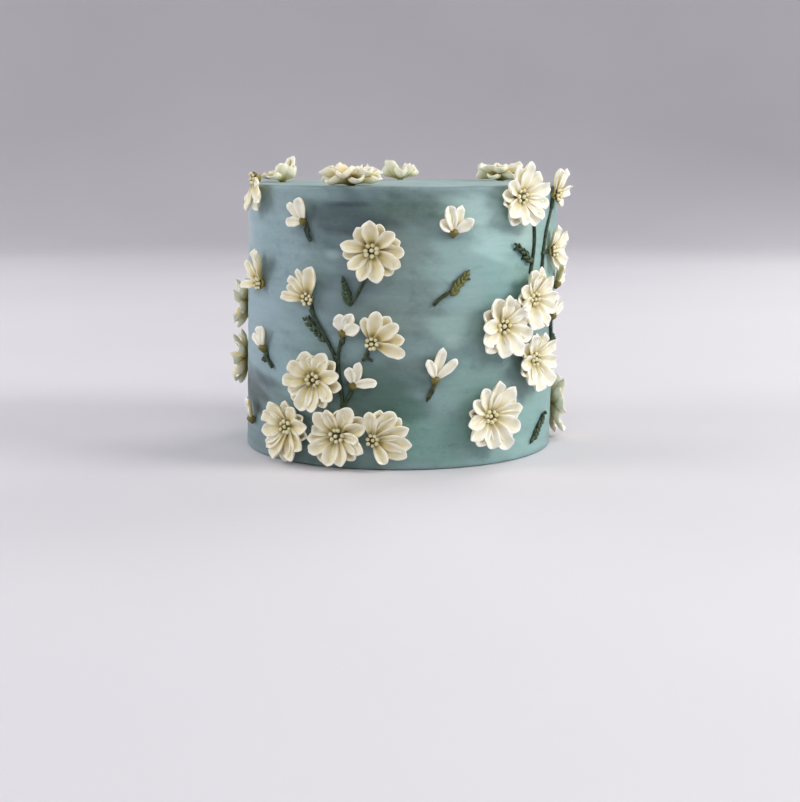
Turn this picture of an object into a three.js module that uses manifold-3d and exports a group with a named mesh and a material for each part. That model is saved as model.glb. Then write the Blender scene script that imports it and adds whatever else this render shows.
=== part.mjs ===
// A tall single-tier wedding cake: one smooth iced cylinder with moulded daisies, half daisies,
// buds and thin green sprays set all round its side and on its top. Millimetres, +Z up.
// The origin is the middle of the cake's flat underside, and the cake's front looks along -Y.
import * as THREE from 'three';
import { mergeVertices } from 'three/addons/utils/BufferGeometryUtils.js';
import Module from 'manifold-3d';

const wasm = await Module();
wasm.setup();

// ---- driving dimensions ----
const CAKE_RADIUS = 76.2;      // a 6 inch cake
const CAKE_HEIGHT = 129;
const CAKE_LEAN = 2;           // the hand-iced top stands this far to +X of the foot
const CAKE_SIDES = 56;
const RIM_ROUND = 1.6;
const FOOT_ROUND = 1.2;
const SEAT_GAP = 0.3;          // clear of the icing, so that the solids only nearly touch
const PIECE_GAP = 0.4;         // clear between two blossoms that crowd each other
const PETAL_THICKNESS = 1.8;
const STEM_RADIUS = 0.85;
const STEM_SIDES = 6;
const STEM_STEP = 4.5;         // length of one straight stretch of a stem

const RAD = Math.PI / 180;

// Heights above the icing for each kind of blossom: heart top, heart edge, petal middle,
// notch between petals, petal edge, and how much the upper and lower petals differ.
const FORMS = {
  daisy: { heart: 4.2, apex: 5.4, heartEdge: 3.6, middle: 4.7, notch: 5.0, edge: 6.9, layer: 0.8 },
  cup: { heart: 3.4, apex: 6.0, heartEdge: 4.2, middle: 5.6, notch: 6.6, edge: 9.8, layer: 0.5 },
  fan: { heart: 3.3, apex: 4.4, heartEdge: 3.0, middle: 3.6, notch: 3.9, edge: 5.6, layer: 0.6 },
  bud: { heart: 2.1, apex: 3.3, heartEdge: 2.5, middle: 3.1, notch: 3.3, edge: 4.6, layer: 0.3 },
};

// ---- materials ----
function finish(color, roughness) {
  return () => new THREE.MeshStandardMaterial({ color, roughness, metalness: 0 });
}

const icing = finish(0x76939a, 0.6);
const petalCream = finish(0xf0ead8, 0.5);
const stemGreen = finish(0x2f3a24, 0.55);

// ---- how the blossoms are set out ----
// A full ring of petals, every other one in the upper layer. Each one leans a little to one side
// and differs a little in length.
function ringOfPetals(count, reach, turn) {
  return Array.from({ length: count }, (_, i) => {
    const sway = Math.sin(i * 2.4 + turn);
    const stretch = Math.cos(i * 3.7 + turn * 0.7);
    return {
      angle: turn + (i * 360) / count + 4 * sway,
      length: reach * (0.955 + 0.045 * stretch),
      width: reach * 0.66,
      upper: i % 2 === 0,
    };
  });
}

// Petals of the upper and of the under layer, each an [angle, length] pair.
function layered(width, upper, under) {
  const petals = [
    ...upper.map(([angle, length]) => ({ angle, length, width, upper: true })),
    ...under.map(([angle, length]) => ({ angle, length, width, upper: false })),
  ];
  return petals.sort((a, b) => a.angle - b.angle);
}

function onSide(azimuth, height) {
  return { azimuth, height };
}

function onTop(x, y, tilt = 0, tiltTowards = 0) {
  return { x, y, tilt, tiltTowards };
}

function daisy(seat, upper, under) {
  return { form: FORMS.daisy, seat, petals: layered(9.6, upper, under) };
}

function evenDaisy(seat, reach, turn) {
  return { form: FORMS.daisy, seat, petals: ringOfPetals(12, reach, turn) };
}

function cupDaisy(seat, reach, turn) {
  return { form: FORMS.cup, seat, petals: ringOfPetals(8, reach, turn) };
}

function fan(seat, upper, under) {
  return { form: FORMS.fan, seat, petals: layered(8.6, upper, under) };
}

function bud(seat, width, upper, under = []) {
  return { form: FORMS.bud, seat, petals: layered(width, upper, under) };
}

// Azimuth is in degrees from the front, positive to the right, and height is above the foot.
const DAISIES = [
  // front, from the left to the right
  daisy(
    onSide(-9.8, 100.8),
    [[-137, 12.4], [-108, 14.4], [-78, 14.6], [-28, 14.2], [38, 12.8], [90, 13.6], [163, 13]],
    [[-168, 12.8], [-51, 14], [-3, 14.2], [19, 13.2], [73, 12.8], [123, 12.2]],
  ),
  daisy(
    onSide(-30, 41),
    [[-176, 14.6], [-111, 15.2], [-84, 15], [-35, 14], [12, 14.8], [62, 15], [103, 13.8], [143, 13.2]],
    [[-156, 14.4], [-134, 14.8], [-59, 14.6], [-11, 14.8], [38, 14.8], [84, 11.5], [122, 12.8]],
  ),
  daisy(
    onSide(-41.5, 17.4),
    [
      [-168, 13.2], [-132, 14.6], [-108, 16.5], [-66, 16.5], [-34, 15.4],
      [5, 14.6], [52, 12.5], [123, 13.6], [153, 13.6],
    ],
    [[-150, 13.4], [-88, 16.6], [-14, 14], [27, 12.6], [86, 12.4], [172, 12.6]],
  ),
  daisy(
    onSide(-21, 15.8),
    [[-145, 14.2], [-102, 14], [-76, 14.4], [-26, 15], [-3, 11.4], [62, 15.6], [106, 12.8], [132, 14]],
    [[-172, 14.2], [-122, 14], [-54, 14.2], [17, 14.6], [39, 15], [84, 12.6], [160, 12.4]],
  ),
  evenDaisy(onSide(-97, 68.5), 13.2, 20),
  evenDaisy(onSide(-96, 41), 14.4, 3),
  daisy(
    onSide(43, 124),
    [
      [-141, 13.6], [-94, 13.4], [-66, 14.8], [-40, 15], [-9, 15.6],
      [16, 15.6], [86, 16], [116, 15], [148, 12.8],
    ],
    [[-166, 11.6], [-116, 14.4], [-24, 14.6], [50, 15.2], [175, 13.4]],
  ),
  daisy(
    onSide(51.5, 76.4),
    [
      [-167, 14], [-112, 15], [-61, 14.6], [-25, 14.8], [0, 14.6],
      [43, 14.4], [94, 15.2], [122, 15.8], [156, 14.6],
    ],
    [[-140, 14], [-86, 14.4], [-43, 14], [22, 14.4], [70, 14.2], [176, 13.6]],
  ),
  daisy(
    onSide(36.4, 65),
    [[-158, 14.2], [-103, 14.8], [-65, 15.6], [-22, 15.4], [36, 15.4], [86, 15], [121, 15.2], [174, 13.6]],
    [[-128, 14.8], [-84, 14.2], [-43, 14.4], [8, 14.2], [61, 13.6], [150, 13.8]],
  ),
  daisy(
    onSide(53, 47.6),
    [
      [-173, 14.4], [-129, 14.2], [-101, 14.8], [-58, 15.4], [-34, 15.2],
      [-9, 14.8], [30, 15], [76, 13.4], [122, 13.8],
    ],
    [[-152, 13], [-80, 14.4], [10, 14.4], [53, 13.2], [98, 13], [154, 13.2]],
  ),
  daisy(
    onSide(32, 23.5),
    [
      [-172, 13.2], [-140, 15], [-96, 14.6], [-65, 17.2], [-27, 16],
      [12, 16], [55, 17], [83, 17.2], [112, 15.4], [142, 13.8],
    ],
    [[-118, 14.8], [-46, 16.4], [-8, 15.6], [33, 15.4], [165, 11.8]],
  ),
  evenDaisy(onSide(97, 17), 16, 60),
  // top
  evenDaisy(onTop(-23.5, -57), 15.6, 12),
  cupDaisy(onTop(-60, 11, 20, 180), 10.8, 20),
  cupDaisy(onTop(-1, 58, 12, 90), 10.6, 47),
  evenDaisy(onTop(51, 38), 13.6, 30),
  // back
  evenDaisy(onSide(121, 94), 15, 10),
  evenDaisy(onSide(128, 47), 15.6, 70),
  evenDaisy(onSide(151, 18.5), 15, 35),
  evenDaisy(onSide(172, 16.8), 14.6, 5),
  evenDaisy(onSide(166, 84), 15.4, 55),
  evenDaisy(onSide(207, 106), 14.8, 25),
  evenDaisy(onSide(226, 52), 15.6, 80),
];

const FANS = [
  fan(
    onSide(-8.6, 14.2),
    [[-58, 11.8], [-6, 17.4], [24, 17.2], [58, 16.8], [97, 15.6]],
    [[-31, 16.4], [41, 16.6], [76, 15]],
  ),
  fan(onSide(-9.4, 58.8), [[-16, 15], [40, 14.6], [79, 15.4]], [[11, 14.4], [59, 14.8], [104, 12.6]]),
  fan(onSide(-33, 77.9), [[72, 16.4], [98, 14.6], [124, 12.8], [174, 12.6]], [[149, 12]]),
  fan(onSide(-59, 82.8), [[70, 16.6], [128, 13.4], [187, 13]], [[97, 16.6], [158, 12.8]]),
  fan(onSide(-64, 132), [[-92, 15.8], [-40, 16.8], [-12, 12]], [[-116, 13], [-66, 16.6]]),
  fan(onSide(68, 124), [[12, 12], [77, 13]], [[-36, 9], [46, 12.4], [105, 13]]),
  fan(onSide(66, 97.8), [[-38, 12.4], [40, 13]], [[-68, 10.6], [2, 13], [84, 12.4]]),
  // back
  fan(onSide(143, 72), [[52, 13.4], [112, 15], [168, 12.6]], [[82, 15], [140, 13.6]]),
  fan(onSide(191, 50), [[8, 13], [68, 15.2], [126, 12.6]], [[38, 14.6], [98, 14.4]]),
  fan(onSide(240, 92), [[58, 14], [116, 14]], [[30, 12.8], [88, 15]]),
];

const BUDS = [
  bud(onSide(-19.6, 63.4), 6.4, [[20, 9.2], [98, 8.6]], [[62, 10.2]]),
  bud(onSide(-15.6, 39.4), 4.6, [[14, 11], [102, 8.6]], [[68, 11.4]]),
  bud(onSide(-35.4, 113.3), 5.2, [[92, 10.8], [186, 8.4]], [[132, 11]]),
  bud(onSide(-57, 52.5), 4.2, [[73, 11.4], [132, 9]], [[101, 10.6]]),
  bud(onSide(-67, 16.2), 4.2, [[72, 10.6]], [[104, 10.8]]),
  bud(onSide(76, 80.8), 5, [[24, 9], [104, 9]], [[62, 10.6]]),
  bud(onSide(70, 66), 5, [[32, 9], [106, 11.4]], [[68, 11]]),
  bud(onSide(12.1, 42.3), 4.2, [[44, 12.6], [113, 10.6]], [[82, 15]]),
  bud(onSide(17.3, 108.9), 5, [[30, 9.8], [107, 12.4]], [[76, 12.4], [140, 8.6]]),
  // back
  bud(onSide(147, 110), 5, [[60, 11], [130, 10.4]], [[94, 12.4]]),
  bud(onSide(196, 20), 4.8, [[40, 10.6], [112, 10.4]], [[76, 12]]),
  bud(onSide(104, 62), 5, [[70, 10.4], [140, 10]], [[104, 12]]),
];

function numbered(kind, rows) {
  return rows.map((row, i) => ({ ...row, name: `${kind}_${String(i + 1).padStart(2, '0')}` }));
}

const blossoms = [...numbered('daisy', DAISIES), ...numbered('fan', FANS), ...numbered('bud', BUDS)];

// ---- from the flat working frame to the cake ----
// On the side, u runs round the cake, v is height and w stands out from the icing.
// On the top, u and v are X and Y from the blossom's heart, and w is height.
function sidePoint(u, v, w, seat) {
  const angle = seat.azimuth * RAD + u / CAKE_RADIUS;
  const radius = CAKE_RADIUS + w;
  return new THREE.Vector3(radius * Math.sin(angle), -radius * Math.cos(angle), seat.height + v);
}

function topPoint(u, v, w, seat) {
  const direction = seat.tiltTowards * RAD;
  const hinge = new THREE.Vector3(-Math.sin(direction), Math.cos(direction), 0);
  const point = new THREE.Vector3(u, v, w).applyAxisAngle(hinge, seat.tilt * RAD);
  return point.add(new THREE.Vector3(seat.x, seat.y, CAKE_HEIGHT + SEAT_GAP));
}

function placed(geometry, seat) {
  const place = seat.azimuth === undefined ? topPoint : sidePoint;
  const position = geometry.getAttribute('position');
  for (let i = 0; i < position.count; i += 1) {
    const point = place(position.getX(i), position.getY(i), position.getZ(i), seat);
    const lean = (CAKE_LEAN * point.z) / CAKE_HEIGHT;
    position.setXYZ(i, point.x + lean, point.y, point.z);
  }
  geometry.computeVertexNormals();
  return geometry;
}

// ---- where crowded blossoms meet ----
function towards(from, to) {
  const flat = from.azimuth !== undefined;
  const du = flat ? (to.azimuth - from.azimuth) * RAD * CAKE_RADIUS : to.x - from.x;
  const dv = flat ? to.height - from.height : to.y - from.y;
  return { angle: Math.atan2(dv, du), distance: Math.hypot(du, dv) };
}

function angleBetween(a, b) {
  return Math.abs(Math.atan2(Math.sin(a - b), Math.cos(a - b)));
}

// How far a blossom reaches in one direction: its petals there, or only its heart.
function reachTowards(blossom, angle) {
  const near = blossom.petals.filter((petal) => angleBetween(petal.angle * RAD, angle) < 32 * RAD);
  return Math.max(blossom.form.heart, ...near.map((petal) => petal.length));
}

// Straight edges that a blossom keeps inside: one half way to each neighbour that it would
// run into, and one just above the foot of the cake.
function edgesAround(blossom) {
  const edges = [];
  for (const other of blossoms) {
    const sameFace = (other.seat.azimuth === undefined) === (blossom.seat.azimuth === undefined);
    if (other !== blossom && sameFace) {
      const { angle, distance } = towards(blossom.seat, other.seat);
      const own = reachTowards(blossom, angle);
      const theirs = reachTowards(other, angle + Math.PI);
      if (own + theirs + PIECE_GAP > distance) {
        edges.push({ angle, distance: (distance * own) / (own + theirs) - PIECE_GAP / 2 });
      }
    }
  }
  if (blossom.seat.height !== undefined) {
    edges.push({ angle: -Math.PI / 2, distance: blossom.seat.height - SEAT_GAP });
  }
  return edges;
}

function limited(radius, angle, edges) {
  let reach = radius;
  for (const edge of edges) {
    const facing = Math.cos(angle - edge.angle);
    if (facing > 0.05) {
      reach = Math.min(reach, edge.distance / facing);
    }
  }
  return reach;
}

// ---- blossoms ----
// How far out two neighbouring petals part: the closer they stand, the further out.
function notchBetween(before, petal, gap) {
  return Math.min(before.length, petal.length) * (1 - 0.3 * Math.min(1, gap / 34));
}

// The sectors round a heart: one for each petal, and plain ones where there is no petal.
function sectorsOf(petals, form) {
  const first = petals[0];
  const last = petals[petals.length - 1];
  const open = first.angle + 360 - last.angle;
  const closedRing = open < 60;
  const half = Math.atan2(first.width / 2, first.length * 0.8) / RAD;
  const sectors = petals.map((petal, i) => {
    const before = petals[i - 1];
    if (before) {
      const notch = notchBetween(before, petal, petal.angle - before.angle);
      return { start: (before.angle + petal.angle) / 2, notch, petal };
    }
    if (closedRing) {
      return { start: (last.angle - 360 + first.angle) / 2, notch: notchBetween(last, first, open), petal };
    }
    return { start: first.angle - half, notch: form.heart * 1.25, petal };
  });
  if (!closedRing) {
    const bareFrom = last.angle + half;
    const bareTo = first.angle - half + 360;
    const steps = Math.ceil((bareTo - bareFrom) / 62);
    for (let i = 0; i < steps; i += 1) {
      const start = bareFrom + ((bareTo - bareFrom) * i) / steps;
      sectors.push({ start, notch: form.heart * (i === 0 ? 1.25 : 1), petal: null });
    }
  }
  return sectors;
}

// A closed blossom: a domed heart, cupped petals with a dip in the middle of each, a thick rounded
// edge, and an underside that rises from a narrow foot so that the petals stand clear of the icing.
function blossomGeometry(blossom) {
  const { form, petals } = blossom;
  const edges = edgesAround(blossom);
  const positions = [];
  const index = [];

  function vertex(radius, angle, w) {
    const reach = limited(radius, angle, edges);
    positions.push(reach * Math.cos(angle), reach * Math.sin(angle), w);
    return positions.length / 3 - 1;
  }

  function rimPair(radius, angle, w) {
    const top = vertex(radius, angle, w);
    const reach = Math.hypot(positions[top * 3], positions[top * 3 + 1]);
    const under = Math.max(w - PETAL_THICKNESS, SEAT_GAP);
    positions.push(0.93 * reach * Math.cos(angle), 0.93 * reach * Math.sin(angle), under);
    return { top, under: top + 1 };
  }

  const apex = vertex(0, 0, form.apex);
  const foot = vertex(0, 0, SEAT_GAP);
  const sectors = sectorsOf(petals, form);
  const starts = sectors.map((sector) => {
    const angle = sector.start * RAD;
    const bare = sector.notch <= form.heart * 1.25;
    const notchHeight = bare ? form.heartEdge * 0.75 : form.notch;
    const inner = vertex(Math.min(form.heart, sector.notch * 0.8), angle, form.heartEdge);
    return { inner, notch: rimPair(sector.notch, angle, notchHeight) };
  });

  sectors.forEach((sector, i) => {
    const here = starts[i];
    const next = starts[(i + 1) % sectors.length];
    const outline = [here.notch];
    index.push(apex, here.inner, next.inner);
    if (sector.petal) {
      const { angle, length, width, upper } = sector.petal;
      const endAngle = i + 1 < sectors.length ? sectors[i + 1].start : sectors[0].start + 360;
      const room = Math.min(angle - sector.start, endAngle - angle) * 0.8 * RAD;
      const spread = Math.min(Math.atan2(width * 0.4, length * 0.86), room);
      const lift = upper ? form.layer : -form.layer;
      const height = form.edge + lift;
      if (upper) {
        outline.push(rimPair(length * 0.93, angle * RAD - spread, height));
      }
      outline.push(rimPair(length, angle * RAD, height - 0.4));
      if (upper) {
        outline.push(rimPair(length * 0.93, angle * RAD + spread, height));
      }
      outline.push(next.notch);
      const middle = vertex(length * 0.62, angle * RAD, form.middle + lift);
      const loop = [here.inner, ...outline.map((pair) => pair.top), next.inner];
      loop.forEach((from, k) => index.push(middle, from, loop[(k + 1) % loop.length]));
    } else {
      outline.push(next.notch);
      index.push(here.inner, here.notch.top, next.notch.top);
      index.push(here.inner, next.notch.top, next.inner);
    }
    for (let k = 0; k + 1 < outline.length; k += 1) {
      const a = outline[k];
      const b = outline[k + 1];
      index.push(a.top, a.under, b.under, a.top, b.under, b.top);
      index.push(foot, b.under, a.under);
    }
  });

  const geometry = new THREE.BufferGeometry();
  geometry.setAttribute('position', new THREE.Float32BufferAttribute(positions, 3));
  geometry.setIndex(index);
  return placed(geometry, blossom.seat);
}

// ---- green sprays ----
// Sprays are drawn in a frame with u = distance round the side from the front and v = height.
function flatPoint([azimuth, height], w) {
  return new THREE.Vector3(azimuth * RAD * CAKE_RADIUS, height, w);
}

function toSolid(geometry) {
  geometry.deleteAttribute('normal');
  geometry.deleteAttribute('uv');
  const merged = mergeVertices(geometry, 1e-4);
  const vertProperties = new Float32Array(merged.getAttribute('position').array);
  const triVerts = new Uint32Array(merged.getIndex().array);
  return new wasm.Manifold(new wasm.Mesh({ numProp: 3, vertProperties, triVerts }));
}

function fromSolid(solid) {
  const mesh = solid.getMesh();
  const geometry = new THREE.BufferGeometry();
  geometry.setAttribute('position', new THREE.Float32BufferAttribute(mesh.vertProperties, mesh.numProp));
  geometry.setIndex(new THREE.Uint32BufferAttribute(mesh.triVerts, 1));
  return geometry;
}

function stem(...points) {
  const curve = new THREE.CatmullRomCurve3(points.map((point) => flatPoint(point, SEAT_GAP + STEM_RADIUS)));
  const section = new THREE.Shape();
  for (let i = 0; i < STEM_SIDES; i += 1) {
    const angle = (i * 2 * Math.PI) / STEM_SIDES;
    const x = STEM_RADIUS * Math.cos(angle);
    const y = STEM_RADIUS * Math.sin(angle);
    if (i === 0) {
      section.moveTo(x, y);
    } else {
      section.lineTo(x, y);
    }
  }
  section.closePath();
  const steps = Math.max(2, Math.round(curve.getLength() / STEM_STEP));
  return toSolid(new THREE.ExtrudeGeometry(section, { steps, bevelEnabled: false, extrudePath: curve }));
}

// A thick pointed blade with a raised midrib. Notched blades have a saw-toothed edge.
function blade(from, to, width, teeth = 0) {
  const start = flatPoint(from, 0);
  const along = flatPoint(to, 0).sub(start);
  const across = new THREE.Vector3(-along.y, along.x, 0).normalize();
  const stations = teeth ? 2 * teeth : 3;
  const positions = [];
  const index = [];
  for (let i = 1; i < stations; i += 1) {
    const t = i / stations;
    const fullness = Math.sin(Math.PI * t ** 0.85);
    const tooth = teeth && i % 2 ? 1 : 0.62;
    const half = (width / 2) * fullness * (teeth ? tooth : 1);
    const centre = start.clone().addScaledVector(along, t);
    const left = centre.clone().addScaledVector(across, half);
    const right = centre.clone().addScaledVector(across, -half);
    positions.push(left.x, left.y, SEAT_GAP + 0.7, centre.x, centre.y, SEAT_GAP + 1.7);
    positions.push(right.x, right.y, SEAT_GAP + 0.7, centre.x, centre.y, SEAT_GAP);
  }
  const rings = stations - 1;
  const heel = rings * 4;
  const tip = heel + 1;
  const end = start.clone().add(along);
  positions.push(start.x, start.y, SEAT_GAP + 0.8, end.x, end.y, SEAT_GAP + 0.8);
  for (let side = 0; side < 4; side += 1) {
    const other = (side + 1) % 4;
    index.push(heel, other, side);
    for (let ring = 0; ring + 1 < rings; ring += 1) {
      const a = ring * 4;
      const b = a + 4;
      index.push(a + side, a + other, b + other, a + side, b + other, b + side);
    }
    index.push(tip, (rings - 1) * 4 + side, (rings - 1) * 4 + other);
  }
  const geometry = new THREE.BufferGeometry();
  geometry.setAttribute('position', new THREE.Float32BufferAttribute(positions, 3));
  geometry.setIndex(index);
  return toSolid(geometry);
}

// Slender leaflets in pairs on both sides of a rib, shorter towards the tip.
function frond(from, to, leaflet, pairs) {
  const rib = blade(from, to, 2);
  const along = flatPoint(to, 0).sub(flatPoint(from, 0));
  const heading = Math.atan2(along.y, along.x);
  const leaflets = [];
  for (let i = 0; i < pairs; i += 1) {
    const t = 0.22 + (0.5 * i) / Math.max(1, pairs - 1);
    const length = leaflet * (1 - 0.35 * t);
    for (const side of [-1, 1]) {
      const root = flatPoint(from, 0).addScaledVector(along, t + 0.05 * side);
      const angle = heading + side * 36 * RAD;
      const end = [root.x + length * Math.cos(angle), root.y + length * Math.sin(angle)];
      const unroll = ([x, y]) => [x / CAKE_RADIUS / RAD, y];
      leaflets.push(blade(unroll([root.x, root.y]), unroll(end), length * 0.4));
    }
  }
  return leaflets.reduce((sum, piece) => sum.add(piece), rib);
}

const SPRAYS = [
  [stem([-12, 88.5], [-15, 80.5], [-17.6, 75.6]), blade([-17.7, 75], [-19.4, 87], 5.4, 3)],
  [
    stem([-32.6, 73.1], [-29.8, 67.3], [-25.7, 59.3], [-22.6, 51.5], [-21.3, 45]),
    stem([-20.4, 60], [-21.6, 51], [-20.8, 41.2], [-20, 34], [-19.6, 27.6]),
    stem([-16.7, 35.9], [-18.2, 32], [-19.4, 28.4]),
    frond([-27.2, 61.6], [-35.2, 70.4], 4.6, 2),
  ],
  [stem([-10.8, 54.2], [-11.6, 52.6], [-12.7, 50.6]), blade([-11.8, 52.4], [-8.6, 50], 1.6)],
  [stem([-35, 110.1], [-34.2, 107.6], [-32.6, 104.2])],
  [stem([-56.2, 49.2], [-54.2, 46.9], [-51.2, 43.6]), blade([-55.4, 48.6], [-58.6, 46.4], 2)],
  [stem([11, 76], [13, 78.6], [16, 81.4]), frond([14.8, 80.2], [25.2, 90.8], 4.8, 3)],
  [
    stem([51.4, 117.4], [53.2, 110], [53.6, 102], [52.4, 92], [51.6, 88]),
    frond([52.4, 93], [42.4, 102.2], 5.4, 2),
  ],
  [stem([67.4, 119.2], [64.8, 113], [62.2, 106.6], [60.6, 98], [59.6, 87.6])],
  [blade([54.6, 5.6], [67.2, 20.2], 4, 4)],
  [stem([71, 62.6], [72.4, 56], [73, 47.6]), blade([72.2, 58.4], [77.2, 53], 2.6)],
  [blade([12, 39.9], [9, 30.8], 3)],
  // back
  [stem([142, 66.6], [139.4, 61], [138.6, 54]), frond([139.4, 60], [148.6, 54], 5, 2)],
  [stem([190.6, 44.9], [192.6, 38.6], [197.6, 30.6]), blade([193.6, 37.4], [204, 41], 3.6, 3)],
  [stem([210, 93.4], [213, 85], [217, 76]), frond([213, 84], [203, 76], 5, 2)],
];

function sprayGeometry(pieces) {
  const joined = pieces.slice(1).reduce((sum, piece) => sum.add(piece), pieces[0]);
  return placed(fromSolid(joined), onSide(0, 0));
}

// ---- the iced cake ----
function cakeGeometry() {
  const r = CAKE_RADIUS;
  const h = CAKE_HEIGHT;
  const profile = [
    new THREE.Vector2(0, 0),
    new THREE.Vector2(r - FOOT_ROUND, 0),
    new THREE.Vector2(r, FOOT_ROUND),
    new THREE.Vector2(r, h - RIM_ROUND),
    new THREE.Vector2(r - RIM_ROUND * 0.3, h - RIM_ROUND * 0.3),
    new THREE.Vector2(r - RIM_ROUND, h),
    new THREE.Vector2(0, h),
  ];
  const lathe = new THREE.LatheGeometry(profile, CAKE_SIDES);
  lathe.rotateX(Math.PI / 2);
  lathe.deleteAttribute('normal');
  lathe.deleteAttribute('uv');
  const geometry = mergeVertices(lathe, 1e-4);
  const position = geometry.getAttribute('position');
  for (let i = 0; i < position.count; i += 1) {
    position.setX(i, position.getX(i) + (CAKE_LEAN * position.getZ(i)) / h);
  }
  geometry.computeVertexNormals();
  return geometry;
}

// ---- the whole cake ----
const cake = new THREE.Group();

function addPiece(name, geometry, material) {
  const mesh = new THREE.Mesh(geometry, material());
  mesh.name = name;
  cake.add(mesh);
}

addPiece('iced_cake', cakeGeometry(), icing);
for (const blossom of blossoms) {
  addPiece(blossom.name, blossomGeometry(blossom), petalCream);
}
for (const spray of numbered('spray', SPRAYS)) {
  const { name, ...pieces } = spray;
  addPiece(name, sprayGeometry(Object.values(pieces)), stemGreen);
}

export default cake;
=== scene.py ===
"""A tall wedding cake in blue-green buttercream, set with moulded daisies, half daisies, buds and green
sprays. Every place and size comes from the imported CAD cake: this script gives it its petals, hearts, calyxes
and icing."""

import math
import zlib

import bmesh
import bpy
import numpy as np
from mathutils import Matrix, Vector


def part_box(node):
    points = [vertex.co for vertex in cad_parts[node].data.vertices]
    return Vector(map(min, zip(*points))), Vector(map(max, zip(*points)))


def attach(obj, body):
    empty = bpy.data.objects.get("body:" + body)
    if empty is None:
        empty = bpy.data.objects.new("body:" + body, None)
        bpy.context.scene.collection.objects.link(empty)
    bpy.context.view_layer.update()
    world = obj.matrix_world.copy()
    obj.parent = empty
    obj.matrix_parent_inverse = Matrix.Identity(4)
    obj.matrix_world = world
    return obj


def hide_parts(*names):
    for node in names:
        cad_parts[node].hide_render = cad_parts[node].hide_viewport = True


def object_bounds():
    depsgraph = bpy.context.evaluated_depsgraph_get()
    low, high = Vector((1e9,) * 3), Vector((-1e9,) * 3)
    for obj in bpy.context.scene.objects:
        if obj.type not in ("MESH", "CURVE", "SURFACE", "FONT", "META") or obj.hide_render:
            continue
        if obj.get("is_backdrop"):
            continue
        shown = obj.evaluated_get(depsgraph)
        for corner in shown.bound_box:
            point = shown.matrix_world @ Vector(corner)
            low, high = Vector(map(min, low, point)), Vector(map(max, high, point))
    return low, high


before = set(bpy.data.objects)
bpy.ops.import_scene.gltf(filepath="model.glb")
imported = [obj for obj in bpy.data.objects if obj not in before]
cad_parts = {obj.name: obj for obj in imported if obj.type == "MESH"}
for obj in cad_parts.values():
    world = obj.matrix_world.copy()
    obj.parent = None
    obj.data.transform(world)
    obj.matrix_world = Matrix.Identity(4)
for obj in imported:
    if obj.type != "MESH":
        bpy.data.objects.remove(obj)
cad_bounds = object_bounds()

MM = 0.001
BODY = "root"
TURN = 2 * math.pi

# ---- the cake's own frame ----
cake_low, cake_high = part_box("iced_cake")
RADIUS = (cake_high.y - cake_low.y) / 2
HEIGHT = cake_high.z


def node_points(name):
    """The distinct corner points of a CAD node, in metres."""
    points = np.array([v.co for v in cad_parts[name].data.vertices], float)
    return np.unique(points.round(7), axis=0)


def lean_of_top():
    """How far the middle of the cake's top stands to the right of the middle of its foot."""
    points = node_points("iced_cake")
    top = points[points[:, 2] > HEIGHT - 0.01 * MM]
    return (points[:, 0].max() + top[:, 0].min()) / 2


LEAN = lean_of_top()


def on_side(points, azimuth=0.0):
    """(u round the cake from azimuth, v height, w out of the icing) to the row frame."""
    angle = azimuth + points[:, 0] / RADIUS
    radius = RADIUS + points[:, 2]
    height = points[:, 1]
    x = radius * np.sin(angle) + LEAN * height / HEIGHT
    return np.stack([x, -radius * np.cos(angle), height], 1)


def off_side(points, azimuth):
    """The way back from on_side."""
    x = points[:, 0] - LEAN * points[:, 2] / HEIGHT
    angle = np.arctan2(x, -points[:, 1]) - azimuth
    angle = (angle + math.pi) % TURN - math.pi
    return np.stack([angle * RADIUS, points[:, 2], np.hypot(x, points[:, 1]) - RADIUS], 1)


def seeded(name):
    """Random draws that are the same each time for the same name."""
    return np.random.default_rng(zlib.crc32(name.encode()))


def smoothstep(low, high, value):
    """0 at low, 1 at high and a soft run between. Low may be more than high."""
    t = np.clip((value - low) / (high - low), 0, 1)
    return t * t * (3 - 2 * t)


def linear(colour):
    """A colour written as #rrggbb, in linear light."""
    parts = np.array([int(colour[i : i + 2], 16) / 255 for i in (1, 3, 5)])
    return np.where(parts <= 0.04045, parts / 12.92, ((parts + 0.055) / 1.055) ** 2.4)


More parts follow.
